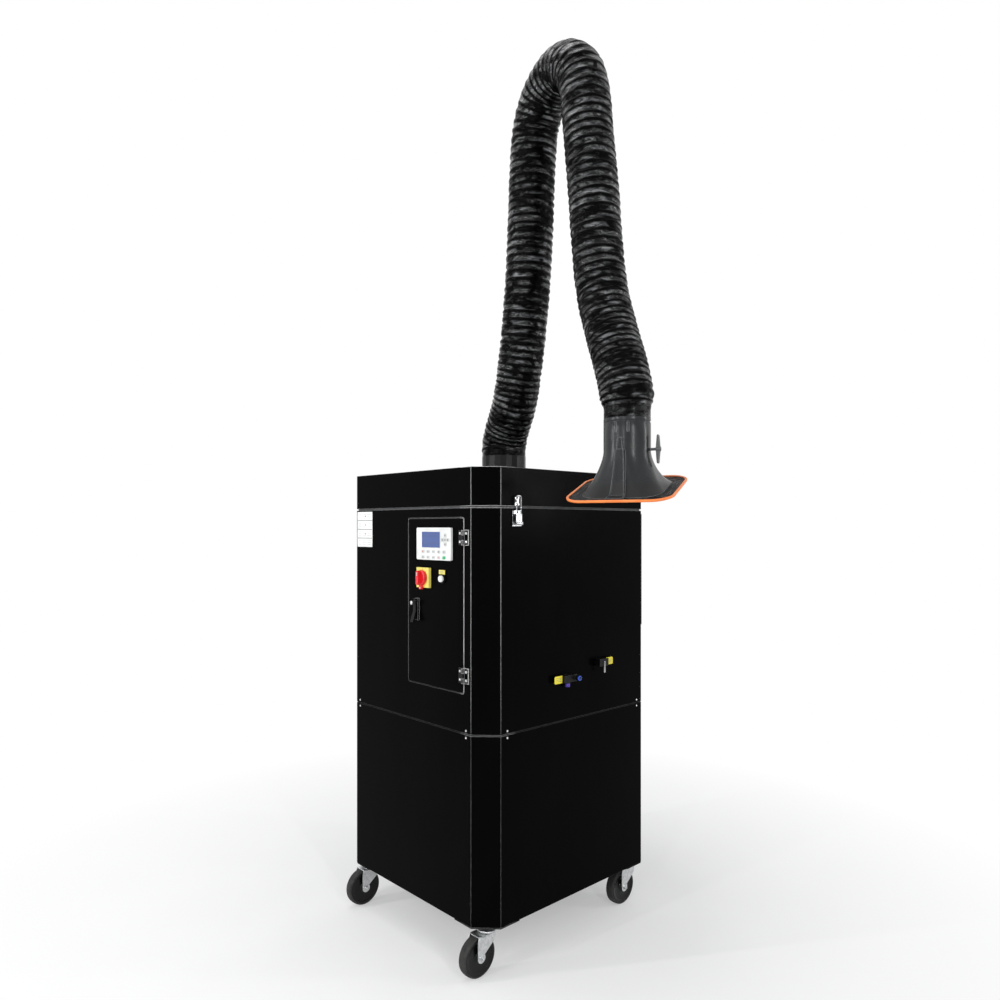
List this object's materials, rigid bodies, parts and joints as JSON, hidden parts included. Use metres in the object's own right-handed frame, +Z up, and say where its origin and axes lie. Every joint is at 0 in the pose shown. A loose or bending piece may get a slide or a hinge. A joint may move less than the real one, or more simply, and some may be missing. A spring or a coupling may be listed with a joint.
{
  "type": "mobile fume extractor",
  "caption": "Black cabinet on swivel casters with a hinged control panel and a jointed suction arm, ribbed hose and flared hood that draw in and filter fumes.",
  "frame": {"origin": "on the floor below the middle of the cabinet", "axes": "+Z up; -Y out of the control-panel face; +X out of the side with the air fittings, the side that the arm reaches over at rest"},
  "size_m": [1.2841, 0.8962, 2.9144],
  "materials": {
    "black_powder_coat": "semi-gloss powder coat",
    "galvanised_steel": "zinc plated",
    "chromed_steel": "bright chrome",
    "black_zinc": "black zinc plate",
    "black_plastic": "moulded, satin",
    "dark_grey_plastic": "moulded, fine texture",
    "black_coated_fabric": "coated, glossy, over a wire helix",
    "orange_rubber": "matt",
    "grey_tyre_rubber": "matt",
    "white_plastic": "satin",
    "blue_screen": "glossy window",
    "red_plastic": "glossy",
    "yellow_plastic": "satin",
    "filter_paper": "pleated filter medium",
    "seal_rubber": "cellular rubber",
    "brass": "turned, satin",
    "grey_motor_paint": "satin paint"
  },
  "bodies": {
    "cabinet": {"lower_cabinet": "black_powder_coat", "deck_plate": "galvanised_steel", "upper_cabinet": "black_powder_coat", "lid_seal": "seal_rubber", "control_enclosure": "galvanised_steel", "control_gear": "galvanised_steel", "tube_sheet": "galvanised_steel", "filter_cartridge_left": "filter_paper", "filter_cartridge_right": "filter_paper", "air_receiver": "grey_motor_paint", "fan_scroll": "galvanised_steel", "fan_motor": "grey_motor_paint", "cable_gland": "black_plastic", "drawer_runners": "galvanised_steel", "latch_base_right": "chromed_steel", "latch_base_left": "chromed_steel", "air_inlet": "galvanised_steel", "drain_valve": "brass"},
    "fan": {"fan_impeller": "galvanised_steel"},
    "drawer": {"dust_drawer": "black_powder_coat"},
    "rear_door": {"service_door": "black_powder_coat"},
    "front_door": {"control_door": "black_powder_coat", "door_hinge_leaf_lower": "black_zinc", "door_hinge_leaf_upper": "black_zinc", "display_frame": "black_plastic", "display_screen": "blue_screen", "isolator_plate": "yellow_plastic", "button_bezel": "black_plastic"},
    "isolator": {"isolator_handle": "red_plastic"},
    "button": {"push_button": "white_plastic"},
    "lock": {"lock_lever": "black_plastic"},
    "right_latch": {"latch_lever_right": "chromed_steel"},
    "left_latch": {"latch_lever_left": "chromed_steel"},
    "drain": {"drain_lever": "chromed_steel"},
    "lid": {"lid_box": "black_powder_coat", "latch_keeper_right": "chromed_steel", "latch_keeper_left": "chromed_steel", "duct_collar": "black_powder_coat"},
    "arm_turret": {"arm_base": "black_powder_coat"},
    "lower_arm": {"lower_link": "galvanised_steel", "hose_lower": "black_coated_fabric"},
    "lower_parallel": {"lower_rod": "galvanised_steel"},
    "elbow": {"elbow_bracket": "galvanised_steel", "hose_elbow": "black_coated_fabric"},
    "outer_arm": {"outer_link": "galvanised_steel", "hose_outer": "black_coated_fabric"},
    "outer_parallel": {"outer_rod": "galvanised_steel"},
    "wrist": {"wrist_bracket": "galvanised_steel"},
    "gimbal": {"hood_gimbal": "galvanised_steel"},
    "hood_body": {"hood": "dark_grey_plastic", "hood_trim": "orange_rubber"},
    "damper_body": {"damper": "black_plastic"},
    "fork_front_left": {"caster_fork_front_left": "galvanised_steel"},
    "fork_front_right": {"caster_fork_front_right": "galvanised_steel"},
    "fork_rear_left": {"caster_fork_rear_left": "galvanised_steel"},
    "fork_rear_right": {"caster_fork_rear_right": "galvanised_steel"},
    "wheel_front_left": {"caster_wheel_front_left": "grey_tyre_rubber"},
    "wheel_front_right": {"caster_wheel_front_right": "grey_tyre_rubber"},
    "wheel_rear_left": {"caster_wheel_rear_left": "grey_tyre_rubber"},
    "wheel_rear_right": {"caster_wheel_rear_right": "grey_tyre_rubber"}
  },
  "joints": [
    {"name": "caster_swivel_front_left", "type": "hinge", "parent": "cabinet", "child": "fork_front_left", "pos_m": [-0.314, -0.344, 0.1364], "axis": [0, 0, 1], "continuous": true},
    {"name": "caster_swivel_front_right", "type": "hinge", "parent": "cabinet", "child": "fork_front_right", "pos_m": [0.314, -0.344, 0.1364], "axis": [0, 0, 1], "continuous": true},
    {"name": "caster_swivel_rear_left", "type": "hinge", "parent": "cabinet", "child": "fork_rear_left", "pos_m": [-0.314, 0.344, 0.1364], "axis": [0, 0, 1], "continuous": true},
    {"name": "caster_swivel_rear_right", "type": "hinge", "parent": "cabinet", "child": "fork_rear_right", "pos_m": [0.314, 0.344, 0.1364], "axis": [0, 0, 1], "continuous": true},
    {"name": "wheel_axle_front_left", "type": "hinge", "parent": "fork_front_left", "child": "wheel_front_left", "pos_m": [-0.314, -0.384, 0.0625], "axis": [1, 0, 0], "continuous": true},
    {"name": "wheel_axle_front_right", "type": "hinge", "parent": "fork_front_right", "child": "wheel_front_right", "pos_m": [0.314, -0.384, 0.0625], "axis": [1, 0, 0], "continuous": true},
    {"name": "wheel_axle_rear_left", "type": "hinge", "parent": "fork_rear_left", "child": "wheel_rear_left", "pos_m": [-0.314, 0.304, 0.0625], "axis": [1, 0, 0], "continuous": true},
    {"name": "wheel_axle_rear_right", "type": "hinge", "parent": "fork_rear_right", "child": "wheel_rear_right", "pos_m": [0.314, 0.304, 0.0625], "axis": [1, 0, 0], "continuous": true},
    {"name": "fan_spin", "type": "hinge", "parent": "cabinet", "child": "fan", "pos_m": [0, -0.16, 0.5993], "axis": [0, 0, 1], "continuous": true},
    {"name": "control_door_hinge", "type": "hinge", "parent": "cabinet", "child": "front_door", "pos_m": [0.282, -0.4135, 0.853], "axis": [0, 0, 1], "range_deg": [0, 120]},
    {"name": "isolator_turn", "type": "hinge", "parent": "front_door", "child": "isolator", "pos_m": [0.088, -0.4085, 1.2], "axis": [0, 1, 0], "range_deg": [0, 90]},
    {"name": "button_press", "type": "slide", "parent": "front_door", "child": "button", "axis": [0, 1, 0], "range_m": [0, 0.003], "stiffness_N_per_m": 500},
    {"name": "lock_turn", "type": "hinge", "parent": "front_door", "child": "lock", "pos_m": [0.047, -0.4085, 1.117], "axis": [0, -1, 0], "range_deg": [0, 90]},
    {"name": "service_door_hinge", "type": "hinge", "parent": "cabinet", "child": "rear_door", "pos_m": [-0.38386, 0.34672, 1.011], "axis": [0, 0, 1], "range_deg": [0, 110]},
    {"name": "drawer_slide", "type": "slide", "parent": "cabinet", "child": "drawer", "axis": [0, 1, 0], "range_m": [0, 0.32]},
    {"name": "right_latch_pivot", "type": "hinge", "parent": "cabinet", "child": "right_latch", "pos_m": [0.3885, -0.279, 1.3729], "axis": [0, 1, 0], "range_deg": [0, 150]},
    {"name": "left_latch_pivot", "type": "hinge", "parent": "cabinet", "child": "left_latch", "pos_m": [-0.3885, -0.279, 1.3729], "axis": [0, -1, 0], "range_deg": [0, 150]},
    {"name": "drain_turn", "type": "hinge", "parent": "cabinet", "child": "drain", "pos_m": [0.4058, 0.11, 0.905], "axis": [1, 0, 0], "range_deg": [0, 90]},
    {"name": "lid_hinge", "type": "hinge", "parent": "cabinet", "child": "lid", "pos_m": [0, 0.4135, 1.4237], "axis": [-1, 0, 0], "range_deg": [0, 60]},
    {"name": "arm_swivel", "type": "hinge", "parent": "lid", "child": "arm_turret", "pos_m": [0, 0.022, 1.545], "axis": [0, 0, 1], "continuous": true},
    {"name": "lower_tilt", "type": "hinge", "parent": "arm_turret", "child": "lower_arm", "pos_m": [0.05313, 0.00776, 1.73], "axis": [0.2588, 0.9659, 0], "range_deg": [0, 60], "deforming": ["hose_lower", "hose_elbow"]},
    {"name": "lower_rod_pivot", "type": "hinge", "parent": "arm_turret", "child": "lower_parallel", "pos_m": [0.0821, 0, 1.73], "axis": [0.2588, 0.9659, 0], "range_deg": [0, 60]},
    {"name": "elbow_level", "type": "hinge", "parent": "lower_arm", "child": "elbow", "pos_m": [0.20767, -0.03365, 2.64], "axis": [0.2588, 0.9659, 0], "range_deg": [-60, 0]},
    {"name": "outer_tilt", "type": "hinge", "parent": "elbow", "child": "outer_arm", "pos_m": [0.49745, -0.11129, 2.64], "axis": [-0.2588, -0.9659, 0], "range_deg": [0, 95], "deforming": ["hose_outer"]},
    {"name": "outer_rod_pivot", "type": "hinge", "parent": "elbow", "child": "outer_parallel", "pos_m": [0.46847, -0.10353, 2.64], "axis": [-0.2588, -0.9659, 0], "range_deg": [0, 95]},
    {"name": "wrist_level", "type": "hinge", "parent": "outer_arm", "child": "wrist", "pos_m": [0.69064, -0.16306, 1.76], "axis": [-0.2588, -0.9659, 0], "range_deg": [-95, 0]},
    {"name": "hood_turn", "type": "hinge", "parent": "wrist", "child": "gimbal", "pos_m": [0.71768, -0.1703, 1.657], "axis": [0, 0, 1], "continuous": true},
    {"name": "hood_tilt", "type": "hinge", "parent": "gimbal", "child": "hood_body", "pos_m": [0.71768, -0.1703, 1.657], "axis": [0.9278, 0.373, 0], "range_deg": [-30, 30]},
    {"name": "damper_turn", "type": "hinge", "parent": "hood_body", "child": "damper_body", "pos_m": [0.71768, -0.1703, 1.58], "axis": [0.9278, 0.373, 0], "range_deg": [0, 90]}
  ],
  "couplings": [
    {"joint": "lower_rod_pivot", "follows": "lower_tilt", "ratio": 1},
    {"joint": "elbow_level", "follows": "lower_tilt", "ratio": -1},
    {"joint": "outer_rod_pivot", "follows": "outer_tilt", "ratio": 1},
    {"joint": "wrist_level", "follows": "outer_tilt", "ratio": -1}
  ]
}
